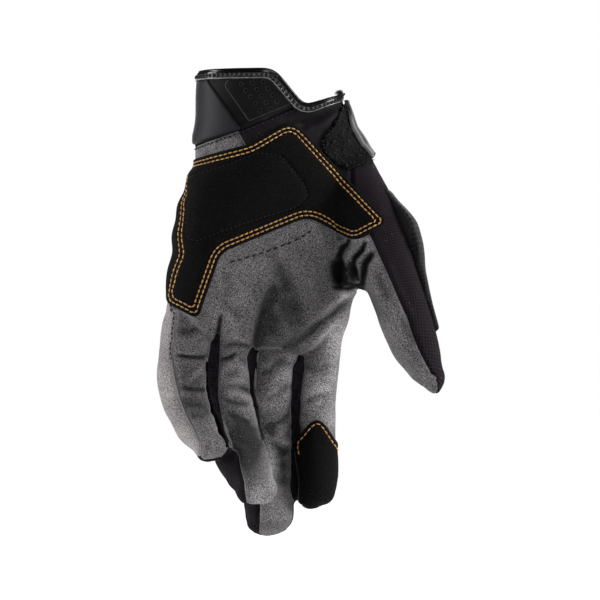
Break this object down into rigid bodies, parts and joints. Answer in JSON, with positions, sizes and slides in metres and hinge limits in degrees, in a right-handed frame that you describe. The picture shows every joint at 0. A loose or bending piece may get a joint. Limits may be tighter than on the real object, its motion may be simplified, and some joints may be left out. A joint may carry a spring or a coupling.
{
  "type": "adventure motorcycle glove",
  "caption": "Left-hand short-cuff riding glove in suede and stretch cloth, worn shape, with palm patch, thumb guard and strap closure.",
  "frame": {"origin": "middle of the wrist opening, level with the lower part of the cuff's top edge", "axes": "+Z out of the wrist opening towards the forearm, -Y the way the palm faces, +X towards the thumb"},
  "size_m": [0.159, 0.0811, 0.2643],
  "materials": {
    "grey_suede": "matte suede",
    "pale_suede": "matte suede",
    "black_suede": "matte suede",
    "padded_cloth": "matte ribbed",
    "stretch_cloth": "matte stretch weave",
    "cuff_cloth": "smooth moulded knit",
    "gloss_rubber": "satin to glossy",
    "fuzzy_loop": "matte looped pile"
  },
  "bodies": {
    "root": {"palm_panel": "grey_suede", "thumb_front_panel": "grey_suede", "pinky_side_panel": "pale_suede", "palm_patch": "black_suede", "fingertip_patch": "black_suede", "thumb_guard": "padded_cloth", "back_panel": "stretch_cloth", "radial_panel": "stretch_cloth", "wrist_gusset": "stretch_cloth", "fourchette_pinky_ring": "stretch_cloth", "fourchette_ring_middle": "stretch_cloth", "fourchette_middle_index": "stretch_cloth", "cuff": "cuff_cloth", "cuff_side_pad": "cuff_cloth", "wrist_strap": "cuff_cloth", "cuff_pull_panel": "gloss_rubber", "cuff_binding": "gloss_rubber", "strap_tab": "gloss_rubber", "loop_patch": "fuzzy_loop"}
  },
  "joints": []
}
